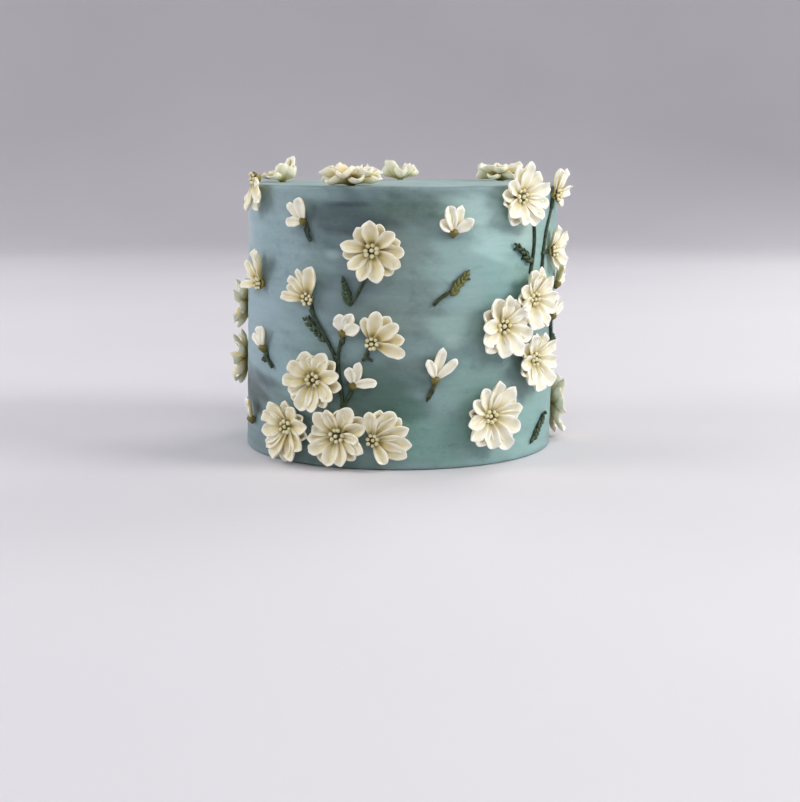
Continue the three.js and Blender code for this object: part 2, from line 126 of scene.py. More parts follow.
# ---- materials ----
class Shader:
    """A few short ways to set nodes in a new material."""

    def __init__(self, name):
        self.material = bpy.data.materials.new(name)
        self.material.use_nodes = True
        self.nodes = self.material.node_tree.nodes
        self.links = self.material.node_tree.links
        self.surface = self.nodes["Principled BSDF"]

    def join(self, value, socket):
        """Link a socket to another, or set it to a #rrggbb colour or a number."""
        if isinstance(value, bpy.types.NodeSocket):
            self.links.new(value, socket)
        elif isinstance(value, str):
            socket.default_value = (*linear(value), 1)
        else:
            socket.default_value = value

    def set(self, **values):
        """Set inputs of the surface, with _ for each space in their names."""
        for name, value in values.items():
            self.join(value, self.surface.inputs[name.replace("_", " ")])

    def attribute(self, name, output="Color"):
        node = self.nodes.new("ShaderNodeAttribute")
        node.attribute_name = name
        return node.outputs[output]

    def channels(self, colour):
        """The red, green and blue of a colour."""
        node = self.nodes.new("ShaderNodeSeparateColor")
        self.join(colour, node.inputs[0])
        return node.outputs

    def place(self, scale=(1, 1, 1)):
        """Object coordinates in millimetres, stretched by scale."""
        where = self.nodes.new("ShaderNodeTexCoord")
        mapping = self.nodes.new("ShaderNodeMapping")
        mapping.inputs["Scale"].default_value = [s / MM for s in scale]
        self.links.new(where.outputs["Object"], mapping.inputs["Vector"])
        return mapping.outputs[0]

    def noise(self, where, scale, detail, roughness=0.5, distortion=0.0):
        node = self.nodes.new("ShaderNodeTexNoise")
        self.join(where, node.inputs["Vector"])
        node.inputs["Scale"].default_value = scale
        node.inputs["Detail"].default_value = detail
        node.inputs["Roughness"].default_value = roughness
        node.inputs["Distortion"].default_value = distortion
        return node.outputs["Fac"]

    def cells(self, where, scale):
        """Distance from the nearest of many scattered points."""
        node = self.nodes.new("ShaderNodeTexVoronoi")
        self.join(where, node.inputs["Vector"])
        node.inputs["Scale"].default_value = scale
        return node.outputs["Distance"]

    def remap(self, value, low, high, to_low=0.0, to_high=1.0):
        """A soft run from to_low at low to to_high at high."""
        node = self.nodes.new("ShaderNodeMapRange")
        node.interpolation_type = "SMOOTHSTEP"
        for socket, item in zip(node.inputs, (value, low, high, to_low, to_high)):
            self.join(item, socket)
        return node.outputs[0]

    def math(self, operation, a, b):
        node = self.nodes.new("ShaderNodeMath")
        node.operation = operation
        self.join(a, node.inputs[0])
        self.join(b, node.inputs[1])
        return node.outputs[0]

    def mix(self, factor, a, b, blend="MIX"):
        node = self.nodes.new("ShaderNodeMix")
        node.data_type = "RGBA"
        node.blend_type = blend
        self.join(factor, node.inputs[0])
        self.join(a, node.inputs[6])
        self.join(b, node.inputs[7])
        return node.outputs[2]

    def bump(self, height, distance, strength, under=None):
        """A normal that follows height, up to distance in millimetres, over another bump if there is one."""
        node = self.nodes.new("ShaderNodeBump")
        node.inputs["Strength"].default_value = strength
        node.inputs["Distance"].default_value = distance * MM
        self.join(height, node.inputs["Height"])
        if under is not None:
            self.join(under, node.inputs["Normal"])
        return node.outputs[0]


UNDERSIDE = 2.0            # added to the distance along a petal to mark its underside


def petal_material():
    """Cream petals: pale raised rims, partly the paste's whiter thin edge and partly a painted highlight; a
    cream bowl; yellow then olive where they meet the heart, the paste's yellow deepened by painted shade in
    the cup towards the root; and warm undersides. The shade attribute holds the rim in red, the distance along
    in green (with UNDERSIDE added below the petal), each petal's own tone in blue and how creamy the whole
    blossom is in alpha, which on the side blossoms is painted warm shade."""
    s = Shader("petal_cream")
    rim, along, own = s.channels(s.attribute("shade"))[:3]
    cream = s.attribute("shade", "Alpha")
    where = s.place()
    cloud = s.noise(where, 0.22, 3)
    grain = s.noise(where, 1.9, 4, 0.6)
    bowl = s.mix(s.remap(cloud, 0.35, 0.68), "#e9e5c9", "#eeebd5")
    bowl = s.mix(s.remap(own, 0.0, 1.0, 0.0, 0.5), bowl, "#f2f0e0")
    # Creamier blossoms: on the side, painted warm shade on those away from the bright light on the right.
    bowl = s.mix(s.math("MULTIPLY", cream, 0.55), bowl, "#e6dbaa")
    # reach is the distance along with a wandering edge, a little less on creamy blossoms
    reach = s.math("ADD", along, s.math("MULTIPLY", cloud, 0.16))
    reach = s.math("SUBTRACT", reach, s.math("MULTIPLY", cream, 0.08))
    # Towards the heart the paste's yellow, then olive, is painted shade in the cup at the petal's root.
    colour = s.mix(s.remap(reach, 0.16, 0.7, 0.85, 0.0), bowl, "#c4b160")
    colour = s.mix(s.remap(reach, 0.12, 0.32, 0.9, 0.0), colour, "#786a1e")
    paler = s.mix(cream, "#fbfaf3", "#f7f4e6")
    # Rims turn paler: partly the paste's whiter thin edge, partly a painted highlight where the rims catch
    # light.
    colour = s.mix(s.math("MULTIPLY", rim, s.remap(reach, 0.2, 0.6, 0.3, 0.9)), colour, paler)
    below = s.mix(s.remap(reach, UNDERSIDE + 0.15, UNDERSIDE + 0.6), "#c9b362", "#f3e4ae")
    below = s.mix(s.remap(reach, UNDERSIDE + 0.55, UNDERSIDE + 0.95), below, "#fbf5dc")
    colour = s.mix(s.remap(along, 1.75, 1.92), colour, below)
    colour = s.mix(s.remap(grain, 0.62, 0.8, 0.0, 0.14), colour, "#cfc795")
    streaks = s.noise(s.place((0.9, 0.9, 0.9)), 0.75, 2, 0.4)
    normal = s.bump(grain, 0.07, 0.5)
    normal = s.bump(streaks, 0.24, 0.4, normal)
    s.set(Base_Color=colour, Roughness=s.remap(cloud, 0.3, 0.7, 0.42, 0.54), Normal=normal)
    s.set(Subsurface_Weight=0.12, Subsurface_Radius=(1.0, 0.9, 0.6), Subsurface_Scale=1.4 * MM)
    s.set(Specular_IOR_Level=0.4)
    return s.material


def heart_material():
    """Beads of pale yellow on an olive heart. The dark low colours are partly the heart's olive and partly
    painted shade at each bead's foot and between the beads. The shade attribute holds the height up a bead in
    red and each bead's own tone in green."""
    s = Shader("heart_beads")
    top, own = s.channels(s.attribute("shade"))[:2]
    where = s.place()
    grain = s.noise(where, 1.6, 3, 0.6)
    # Low on a bead and on the heart: the olive paste with painted shade.
    low = s.mix(s.remap(grain, 0.35, 0.65), "#2e260a", "#574a14")
    high = s.mix(own, "#ddd29a", "#efe8c0")
    colour = s.mix(s.remap(s.math("ADD", top, s.math("MULTIPLY", grain, 0.2)), 0.5, 0.92), low, high)
    rough = s.remap(grain, 0.3, 0.7, 0.34, 0.5)
    s.set(Base_Color=colour, Roughness=rough, Normal=s.bump(grain, 0.08, 0.6))
    s.set(Subsurface_Weight=0.12, Subsurface_Radius=(1.0, 0.8, 0.35), Subsurface_Scale=0.8 * MM)
    return s.material


def green_material(name, dark, light, tip):
    """Piped green, with painted shade between its ridges and a painted highlight on its raised parts and tops,
    and paler flecks in its grain. The shade attribute holds the ridges in red. Its green, the stem's or drop's
    own tone, isn't shown."""
    s = Shader(name)
    ridge_highlight = s.channels(s.attribute("shade"))[0]
    where = s.place()
    cloud = s.noise(where, 0.35, 3)
    grain = s.noise(where, 2.4, 4, 0.6)
    colour = s.mix(s.remap(cloud, 0.35, 0.65), dark, light)
    # Raised parts and drop tops get a painted highlight; the low ones stay darker, as painted shade.
    colour = s.mix(s.math("MULTIPLY", s.remap(ridge_highlight, 0.35, 1.0), 0.6), colour, tip)
    colour = s.mix(s.remap(grain, 0.55, 0.8, 0.0, 0.3), colour, tip)
    rough = s.remap(grain, 0.3, 0.7, 0.36, 0.56)
    s.set(Base_Color=colour, Roughness=rough, Normal=s.bump(grain, 0.12, 0.7), Specular_IOR_Level=0.45)
    return s.material


def icing_material():
    """Buttercream pulled round with a spatula: the tone attribute is the broad watercolour, and level smears
    and streaks, clouds, a fine mottle, pale flecks and dark pores lie over it."""
    s = Shader("buttercream")
    tone = s.attribute("tone")
    level = s.place((0.16, 0.16, 1.0))
    smear = s.noise(level, 0.22, 4, 0.55, 0.6)
    streak = s.noise(level, 1.1, 3, 0.6, 0.4)
    cloud = s.noise(s.place((1, 1, 1.4)), 0.085, 5, 0.62, 0.6)
    fine = s.noise(s.place(), 1.5, 4, 0.65)
    colour = s.mix(s.remap(smear, 0.46, 0.7, 0.0, 0.07), tone, "#d5dcdc", "SOFT_LIGHT")
    colour = s.mix(s.remap(smear, 0.56, 0.34, 0.0, 0.09), colour, "#303c3c", "SOFT_LIGHT")
    colour = s.mix(s.remap(cloud, 0.5, 0.72, 0.0, 0.24), colour, "#b9cdc8", "SOFT_LIGHT")
    colour = s.mix(s.remap(cloud, 0.48, 0.3, 0.0, 0.22), colour, "#3c4544", "SOFT_LIGHT")
    colour = s.mix(s.remap(streak, 0.58, 0.8, 0.0, 0.08), colour, "#b4c4c4")
    colour = s.mix(s.remap(streak, 0.4, 0.24, 0.0, 0.07), colour, "#4a5c5c")
    mottle = s.noise(s.place((1, 1, 1.3)), 0.42, 4, 0.68)
    patchy = s.remap(s.noise(s.place(), 0.035, 3), 0.42, 0.62, 0.25, 1.0)
    lighter = s.math("MULTIPLY", s.remap(mottle, 0.5, 0.74, 0.0, 0.4), patchy)
    darker = s.math("MULTIPLY", s.remap(mottle, 0.5, 0.26, 0.0, 0.2), patchy)
    colour = s.mix(lighter, colour, "#c3dad6", "SOFT_LIGHT")
    colour = s.mix(darker, colour, "#3c504c", "SOFT_LIGHT")
    flecks = s.cells(s.place((1, 1, 1.5)), 0.42)
    fleck_field = s.remap(s.noise(s.place(), 0.045, 2), 0.5, 0.62)
    flecks = s.math("MULTIPLY", s.remap(flecks, 0.2, 0.08), fleck_field)
    colour = s.mix(s.math("MULTIPLY", flecks, 0.04), colour, "#d5e1e0")
    pores = s.remap(s.cells(s.place(), 0.3), 0.13, 0.05)
    pores = s.math("MULTIPLY", pores, s.remap(fine, 0.5, 0.62))
    colour = s.mix(s.math("MULTIPLY", pores, 0.12), colour, "#33474b")
    normal = s.bump(smear, 0.3, 0.3)
    normal = s.bump(streak, 0.16, 0.4, normal)
    normal = s.bump(s.math("SUBTRACT", fine, pores), 0.08, 0.45, normal)
    rough = s.remap(smear, 0.3, 0.7, 0.42, 0.6)
    s.set(Base_Color=colour, Roughness=rough, Normal=normal, Specular_IOR_Level=0.4)
    s.set(Subsurface_Weight=0.06, Subsurface_Radius=(0.6, 0.8, 0.8), Subsurface_Scale=1.0 * MM)
    return s.material


def studio_material():
    """Pale matt paper."""
    s = Shader("studio_paper")
    where = s.place()
    soft = s.noise(where, 0.002, 3)
    grain = s.noise(where, 0.35, 3)
    s.set(Base_Color=s.mix(s.remap(soft, 0.3, 0.7), "#d8d6dc", "#dddbe0"), Roughness=0.75)
    s.set(Normal=s.bump(grain, 0.05, 0.2), Specular_IOR_Level=0.2)
    return s.material


petal_cream = petal_material()
heart_beads = heart_material()
# The last colour of each green is its painted highlight on raised parts and the paler flecks of its grain.
dark_green = green_material("stem_green", "#18271a", "#273a24", "#435833")
olive_green = green_material("leaf_olive", "#1d260c", "#343d14", "#7c7d3a")
calyx_olive = green_material("calyx_olive", "#3a330e", "#5c521e", "#8f8440")
buttercream = icing_material()


# ---- making pieces ----
def add_piece(name, points, faces, material, shades, attribute="shade", replaced=()):
    """A smooth mesh piece that rides on the cake, with one colour attribute row for each point."""
    mesh = bpy.data.meshes.new(name)
    mesh.from_pydata(points.tolist(), [], faces)
    mesh.polygons.foreach_set("use_smooth", np.ones(len(mesh.polygons), bool))
    layer = mesh.color_attributes.new(attribute, "FLOAT_COLOR", "POINT")
    rows = np.ones((len(points), 4), np.float32)
    rows[:, : shades.shape[1]] = shades
    layer.data.foreach_set("color", rows.ravel())
    mesh.materials.append(material)
    mesh.update()
    piece = bpy.data.objects.new(name, mesh)
    bpy.context.scene.collection.objects.link(piece)
    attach(piece, BODY)
    if replaced:
        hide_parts(*replaced)


class Shell:
    """Collects the points, faces and shades of several closed forms that become one piece."""

    def __init__(self):
        self.points, self.faces, self.shades, self.count = [], [], [], 0

    def add(self, points, faces, shades):
        self.points.append(points)
        self.faces.extend([[i + self.count for i in face] for face in faces])
        self.shades.append(shades)
        self.count += len(points)

    def arrays(self):
        return np.concatenate(self.points), self.faces, np.concatenate(self.shades)


# ---- one petal ----
ROWS = 15
COLUMNS = 15
INNER = (slice(0, ROWS - 1), slice(1, COLUMNS - 1))


def petal_topology():
    """Faces of a closed pillow: a top and an under grid that share their points along the sides and tip."""
    top = np.arange(ROWS * COLUMNS).reshape(ROWS, COLUMNS)
    under = top.copy()
    inner_points = np.arange((ROWS - 1) * (COLUMNS - 2)).reshape(ROWS - 1, COLUMNS - 2)
    under[INNER] = ROWS * COLUMNS + inner_points
    faces = []
    for i in range(ROWS - 1):
        for j in range(COLUMNS - 1):
            faces.append([top[i, j], top[i + 1, j], top[i + 1, j + 1], top[i, j + 1]])
            faces.append([under[i, j], under[i, j + 1], under[i + 1, j + 1], under[i + 1, j]])
    for j in range(COLUMNS - 1):
        root = [top[0, j], top[0, j + 1], under[0, j + 1], under[0, j]]
        faces.append(list(dict.fromkeys(int(i) for i in root)))
    return [[int(i) for i in face] for face in faces]


PETAL_FACES = petal_topology()
# Places along a petal, 0 to 1, and across it, -1 to 1, closer together towards the tip and the sides
EVENLY = np.linspace(-1, 1, COLUMNS)
ALONG, ACROSS = np.meshgrid(
    1 - (1 - np.linspace(0, 1, ROWS)) ** 1.7,
    0.25 * EVENLY + 0.75 * np.sin(EVENLY * math.pi / 2),
    indexing="ij",
)
SHINGLE = 0.12             # each petal leans this much to one side, over its neighbour
RUFFLE = 0.14 * MM         # how far its sides wave in and out
TIP_LIFT = 0.5             # how much its tip stands up, as a part of its cup


def petal(length, width, start, seat, edge, hump, cup, thickness, rng):
    """Points and shades of one spoon-shaped petal along +u, in metres: it runs from start to length, rises
    from seat to edge over a hump, and its sides and tip stand up by cup."""
    s, t = ALONG, ACROSS
    run = length - start
    broadest = rng.uniform(0.54, 0.7)
    fullness = 0.42 + 0.58 * np.sin(math.pi / 2 * np.minimum(1, s / broadest)) ** 1.2
    half = width / 2 * fullness * (1 - 0.15 * smoothstep(broadest, 1, s))
    roundness = rng.uniform(0.8, 1.1) * min(0.46, 0.62 * width / run)
    drop = run * roundness * s**2 * (1 - np.sqrt(1 - (0.96 * t) ** 2))
    point = rng.uniform(-0.01, 0.05) * run
    u = start + run * s * (1 - point / run) - drop + point * s**6 * np.exp(-((t / 0.3) ** 2))
    ripple = np.sin(s * rng.uniform(6, 12) + np.sign(t) + rng.uniform(0, TURN))
    ruffle = RUFFLE * np.abs(t) ** 3 * ripple * s
    v = half * t + rng.normal(0, 0.04) * run * s**2 + np.sign(t) * ruffle
    reached = np.clip((u - start) / run, 0, 1)
    w = seat + (edge - seat) * (0.3 * reached + 0.7 * reached**1.8)
    w = w + hump * np.sin(math.pi * reached**0.8)
    deep = cup * rng.uniform(0.75, 1.3) * (1 + rng.uniform(-0.45, 0.45) * np.sign(t))
    w = w + deep * np.abs(t) ** 2.1 * (0.35 + 0.65 * smoothstep(0, 0.4, s))
    w = w + TIP_LIFT * cup * smoothstep(0.7, 1, s) ** 1.4
    crease = rng.uniform(-0.15, 0.55) * MM
    w = w - crease * np.exp(-((t / 0.22) ** 2)) * 3.2 * s * (1 - 0.8 * s)
    w = w + rng.uniform(0.05, 0.3) * MM * np.sin(t * rng.uniform(2, 5) + rng.uniform(0, TURN)) * s**2
    w = w + rng.normal(SHINGLE, 0.05) * v + 1.2 * ruffle
    middle = np.stack([u, v, w], -1)
    normal = np.cross(np.gradient(middle, axis=0), np.gradient(middle, axis=1))
    normal /= np.linalg.norm(normal, axis=-1, keepdims=True)
    offset = thickness / 2 * np.sqrt(1 - np.abs(t) ** 6) * np.sqrt(np.clip(1 - s**10, 0, 1))
    top = middle + normal * offset[..., None]
    under = middle - normal * offset[..., None]
    points = np.concatenate([top.reshape(-1, 3), under[INNER].reshape(-1, 3)])
    # The rim mask: the paste's whiter thin edge and a painted highlight where the rims catch light.
    rim = smoothstep(0.5, 1, np.maximum(np.abs(t), 1 - (1 - s) * 2.4))
    own = rng.random()
    top_shade = np.stack([rim, s, np.full_like(s, own)], -1).reshape(-1, 3)
    under_shade = np.stack([0 * s, s + UNDERSIDE, np.full_like(s, own)], -1)[INNER].reshape(-1, 3)
    return points, np.concatenate([top_shade, under_shade])


def turned(points, angle):
    """Turned about the heart by angle, in degrees."""
    c, s = math.cos(math.radians(angle)), math.sin(math.radians(angle))
    u, v, w = points.T
    return np.stack([u * c - v * s, u * s + v * c, w], 1)


# ---- domes, beads and calyxes ----
def turned_form(profile, sides, ridges=0, depth=0.0):
    """A closed form turned about w from (radius, w, shade) rows that start and end on the axis."""
    points, shades, faces, rings = [], [], [], []
    for radius, w, shade in profile:
        if radius == 0:
            rings.append([len(points)])
            points.append((0, 0, w))
            shades.append(shade)
            continue
        rings.append(list(range(len(points), len(points) + sides)))
        for k in range(sides):
            angle = TURN * k / sides
            r = radius * (1 + depth * math.cos(ridges * angle))
            points.append((r * math.cos(angle), r * math.sin(angle), w))
            shades.append(shade)
    for low, high in zip(rings, rings[1:]):
        for k in range(sides):
            quad = [low[k % len(low)], low[(k + 1) % len(low)]]
            quad += [high[(k + 1) % len(high)], high[k % len(high)]]
            faces.append(list(dict.fromkeys(quad)))
    return np.array(points, float), faces, np.array(shades, float)


def unit_bead():
    """Points and faces of a ball of radius 1."""
    mesh = bmesh.new()
    bmesh.ops.create_icosphere(mesh, subdivisions=3, radius=1)
    points = np.array([v.co for v in mesh.verts])
    faces = [[v.index for v in f.verts] for f in mesh.faces]
    mesh.free()
    return points, faces


BEAD_POINTS, BEAD_FACES = unit_bead()


def add_bead(shell, u, v, w, radius, rise, own):
    """A piped dot: round below, drawn up to a soft point, with its foot shaded by the ones beside it."""
    points = BEAD_POINTS.copy()
    points[:, :2] *= (1 - 0.12 * smoothstep(0.2, 1, points[:, 2]))[:, None]
    shade = np.stack([(points[:, 2] + 1) / 2, np.full(len(points), own)], 1)
    points = points * [radius, radius, rise] + [u, v, w]
    shell.add(points, BEAD_FACES, shade)


# ---- blossoms, read back from the CAD ----
PETAL_MIDDLE = 0.62        # the CAD petal's middle point lies this far along it
SEAT_GAP = 0.3 * MM        # the CAD heart stands this far off the icing
HEART_REACH = 4.3 * MM     # the CAD petals' points are all farther from the heart's middle than this
OVERLAP = 1.4 * MM         # a trimmed petal runs this far over its neighbour

# How each kind is built, in millimetres. The seats, edges and humps are those of the upper and the under
# petals. The beads are rings of so many at such a radius. A crown is of short petals round the heart: how
# many, how long, their seat and their edge.
FORMS = {
    "daisy": dict(
        seats=(3.1, 1.7), edges=(6.6, 4.2), humps=(0.0, 0.0), cup=1.9, thick=1.3, start=2.2,
        core=3.2, heart=3.5, beads=((1, 0.3), (7, 2.8)), crown=(0, 0, 0, 0),
    ),
    "mound": dict(
        seats=(2.4, 0.8), edges=(4.6, 1.2), humps=(1.4, 0.7), cup=2.1, thick=1.7, start=1.2,
        core=3.6, heart=3.0, beads=((1, 0.2), (6, 2.3)), crown=(7, 12.0, 3.8, 6.6),
    ),
    "cup": dict(
        seats=(1.2, 0.9), edges=(6.4, 2.8), humps=(0.4, 0.8), cup=2.3, thick=1.7, start=0.9,
        core=2.4, heart=2.6, beads=((1, 0.0), (6, 2.0)), crown=(4, 8.2, 2.0, 7.4),
    ),
    "fan": dict(
        seats=(2.6, 1.6), edges=(5.6, 3.7), humps=(0.3, 0.0), cup=2.0, thick=1.3, start=1.7,
        core=2.6, heart=3.0, beads=((1, 0.2), (7, 2.4)), crown=(0, 0, 0, 0),
    ),
    "bud": dict(
        seats=(2.2, 1.6), edges=(4.2, 3.3), humps=(0.3, 0.0), cup=1.4, thick=1.4, start=0.6,
        core=2.0, heart=1.9, beads=(), crown=(0, 0, 0, 0),
    ),
}
LAYERS = ("seats", "edges", "humps")
CROWN_WIDTH = 0.5          # a crown petal is this wide for its length
CROWN_HUMP = 0.6
CROWN_SCATTER = 40         # and is turned from its even place by up to this many degrees
BEAD_SIZES = {"daisy": 1.08, "mound": 1.08, "cup": 0.96, "fan": 0.96}
# The creaminess of side blossoms is painted warm shade, deeper away from the bright light on the right.
WARM_SHADE_AZIMUTHS = (42, 2)           # side blossoms grow creamier from the first azimuth, in degrees, to the second
PLAIN_CREAM = {"mound": 0.5, "cup": 0.2, "bud": 0.0}
BUD_WHITE = 0.72           # buds have so much of the yellow at a petal's root
# The two cup-shaped daisies on top open to one side: towards which angle, and by how much more those petals
# stand.
OPENINGS = {"daisy_14": (0, 0.3), "daisy_15": (180, 0.25)}
BUD_WIDTHS = {"bud_01": 6.0, "bud_03": 5.2, "bud_04": 3.6, "bud_09": 5.4}
BUD_WIDTH = 4.6            # of the buds not named above
# Petal widths: so much of the gap to their neighbours, and at least and at most so much of their length
WIDTHS = {
    "daisy": (0.8, 0.4, 0.52),
    "mound": (0.9, 0.42, 0.52),
    "cup": (1.0, 0.66, 0.76),
    "fan": (0.72, 0.34, 0.47),
}
WIDEST_GAP = 75            # degrees, on either side
SLIM_FANS = {"fan_03": 0.74, "fan_04": 0.72, "fan_05": 0.78}
FULL_CUP = 7.2 * MM        # petals narrower than this are cupped less
CUP_EDGE = 9.0 * MM        # only the two cup-shaped daisies on top stand as high as this
# A daisy on top lies level on the icing up to the first height and is tilted in full from the second
RESTING = (0.5 * MM, 7 * MM)
FLOOR_GAP = 0.5 * MM       # petals at the cake's foot are pressed flat this far above the floor


class Blossom:
    """A CAD blossom's heart, seat and petals. On the side of the cake it bends round with the icing."""

    def __init__(self, name):
        self.name = name
        self.kind = name.split("_")[0]
        points = node_points(name)
        self.on_top = points[:, 2].min() > HEIGHT
        if self.on_top:
            self.read_top_frame(points)
            flat = (points - self.origin) @ self.axes.T
        else:
            centre = points.mean(0)
            self.azimuth = math.atan2(centre[0], -centre[1])
            flat = off_side(points, self.azimuth)
        foot = self.heart_foot(flat)
        if self.on_top:
            self.origin = points[foot] - self.axes[2] * SEAT_GAP
            flat = (points - self.origin) @ self.axes.T
            self.kind = "cup" if flat[:, 2].max() > CUP_EDGE else "mound"
        else:
            self.heart = flat[foot, :2].copy()
            flat[:, :2] -= self.heart
        self.petals = self.read_petals(flat)
        self.towards, self.lift = OPENINGS.get(name, (0, 0))
        if self.on_top or self.kind == "bud":
            self.cream = PLAIN_CREAM[self.kind]
        else:
            # On the side, creaminess is painted warm shade, deeper away from the bright light on the right.
            self.cream = float(smoothstep(*WARM_SHADE_AZIMUTHS, math.degrees(self.azimuth)))

    def read_top_frame(self, points):
        """The flat of a daisy on top: across it, the other way across, and up out of it."""
        self.origin = points.mean(0)
        _, _, spread = np.linalg.svd(points - self.origin)
        up = spread[2] * np.sign(spread[2][2])
        across = np.array([1.0, 0, 0]) - up[0] * up
        across /= np.linalg.norm(across)
        self.axes = np.stack([across, np.cross(up, across), up])

    @staticmethod
    def heart_foot(flat):
        """The heart's foot and apex are the only two points one straight above the other."""
        apart = np.hypot(*(flat[:, None, :2] - flat[None, :, :2]).transpose(2, 0, 1))
        np.fill_diagonal(apart, 1)
        pair = np.unravel_index(apart.argmin(), apart.shape)
        return min(pair, key=lambda i: flat[i, 2])

    def read_petals(self, flat):
        """A petal's middle, edge and underside lie on one ray from the heart, well outside the heart."""
        radius = np.hypot(flat[:, 0], flat[:, 1])
        angle = np.degrees(np.arctan2(flat[:, 1], flat[:, 0]))
        outer = radius > 0.1 * MM
        petals = []
        for ray in np.unique(angle[outer].round(0)):
            near = outer & (abs((angle - ray + 180) % 360 - 180) < 0.8)
            if near.sum() == 3 and radius[near].min() > HEART_REACH:
                exact = angle[near][radius[near].argmax()]
                if any(abs((exact - other["angle"] + 180) % 360 - 180) < 2 for other in petals):
                    continue
                tip = radius[near].max()
                length = min(radius[near].min() / PETAL_MIDDLE, tip + OVERLAP)
                petals.append({"angle": exact, "length": length, "edge": flat[near, 2].max()})
        petals.sort(key=lambda p: p["angle"])
        level = np.mean([p["edge"] for p in petals])
        for p in petals:
            p["upper"] = bool(p["edge"] > level)
        return petals

    def width_of(self, petal_row):
        """As wide as the gaps to its neighbours in the same layer let it be."""
        if self.kind == "bud":
            return BUD_WIDTHS.get(self.name, BUD_WIDTH) * MM
        same = [p for p in self.petals if p["upper"] == petal_row["upper"] and p is not petal_row]
        gaps = sorted((p["angle"] - petal_row["angle"]) % 360 for p in same) or [90]
        gap = (min(gaps[0], WIDEST_GAP) + min(360 - gaps[-1], WIDEST_GAP)) / 2
        length = petal_row["length"]
        share, least, most = WIDTHS[self.kind]
        slim = SLIM_FANS.get(self.name, 1.0)
        return slim * float(np.clip(share * length * math.radians(gap), least * length, most * length))

    def place(self, local):
        """Points about the heart to the row frame."""
        if self.on_top:
            placed = self.origin + local @ self.axes
            level = self.origin[2] + local[:, 2]
            placed[:, 2] = level + (placed[:, 2] - level) * smoothstep(*RESTING, local[:, 2])
            return placed
        flat = local + np.array([*self.heart, 0])
        placed = on_side(flat, self.azimuth)
        below = placed[:, 2] < FLOOR_GAP
        placed[below, 2] = FLOOR_GAP + 0.12 * (placed[below, 2] - FLOOR_GAP).clip(-3 * MM, 0)
        return placed


def petals_of(blossom, rng):
    """Every petal of a blossom: those of the CAD node, then its crown."""
    form = FORMS[blossom.kind]
    shell = Shell()
    rows = []
    for row in blossom.petals:
        layer = [form[key][0 if row["upper"] else 1] for key in LAYERS]
        rows.append((row["angle"], row["length"], blossom.width_of(row), *layer))
    count, length, seat, edge = form["crown"]
    for k in range(count):
        angle = 360 * k / count + rng.uniform(0, CROWN_SCATTER)
        rows.append((angle, length * MM, CROWN_WIDTH * length * MM, seat, edge, CROWN_HUMP))
    for angle, length, width, seat, edge, hump in rows:
        lift = blossom.lift * math.cos(math.radians(angle - blossom.towards))
        points, shades = petal(
            length * rng.uniform(0.98, 1.02),
            width * rng.uniform(0.88, 1.1),
            form["start"] * MM,
            seat * MM,
            (edge * (1 + lift) + rng.normal(0, 0.35)) * MM,
            hump * MM,
            form["cup"] * MM * rng.uniform(0.85, 1.15) * min(1, width / FULL_CUP),
            form["thick"] * MM,
            rng,
        )
        if blossom.kind == "bud":
            below = shades[:, 1] >= UNDERSIDE
            shades[below, 1] = UNDERSIDE + 1
        shell.add(turned(points, angle), PETAL_FACES, shades)
    return shell


def plinth(form):
    """What the petals grow from: a short stalk of the same paste, pressed into the icing."""
    r = form["heart"] * MM
    core = form["core"] * MM
    # Its low shade values give it the dark olive of the petal roots: painted shade under the petals.
    rows = [
        (0, -0.4 * MM, 0.1),
        (0.6 * r, -0.4 * MM, 0.1),
        (0.65 * r, 0.3 * core, 0.12),
        (0.9 * r, 0.7 * core, 0.16),
        (0.95 * r, 0.95 * core, 0.2),
        (0, core - 0.1 * MM, 0.2),
    ]
    points, faces, shade = turned_form(rows, 28)
    return points, faces, np.stack([0 * shade, shade, 0 * shade + 0.5], 1)


def heart_of(blossom, rng):
    """A low olive dome under a cluster of beads."""
    form = FORMS[blossom.kind]
    shell = Shell()
    seat = form["core"] * MM
    r = 0.86 * form["heart"] * MM
    # The dome's low shade values paint it dark: its olive paste and painted shade between the beads.
    rows = [(0, seat - 1.2 * MM, 0.0), (r, seat - 1.0 * MM, 0.0)]
    for k in range(1, 6):
        a = k / 6 * math.pi / 2
        rows.append((r * math.cos(a), seat - 0.2 * MM + 1.0 * MM * math.sin(a), 0.12))
    rows.append((0, seat + 0.8 * MM, 0.12))
    points, faces, shade = turned_form(rows, 28, ridges=9, depth=0.03)
    shell.add(points, faces, np.stack([shade, 0 * shade], 1))
    size = BEAD_SIZES[blossom.kind]
    for count, ring in form["beads"]:
        turn = rng.uniform(0, TURN)
        for k in range(count):
            angle = turn + TURN * k / count + rng.normal(0, 0.09)
            out = ring * MM * rng.uniform(0.88, 1.08)
            radius = size * MM * rng.uniform(0.88, 1.1)
            w = seat + (0.75 if ring else 1.1) * MM + rng.normal(0, 0.12) * MM
            u, v = out * math.cos(angle), out * math.sin(angle)
            add_bead(shell, u, v, w, radius, 1.22 * radius, rng.random())
    return shell


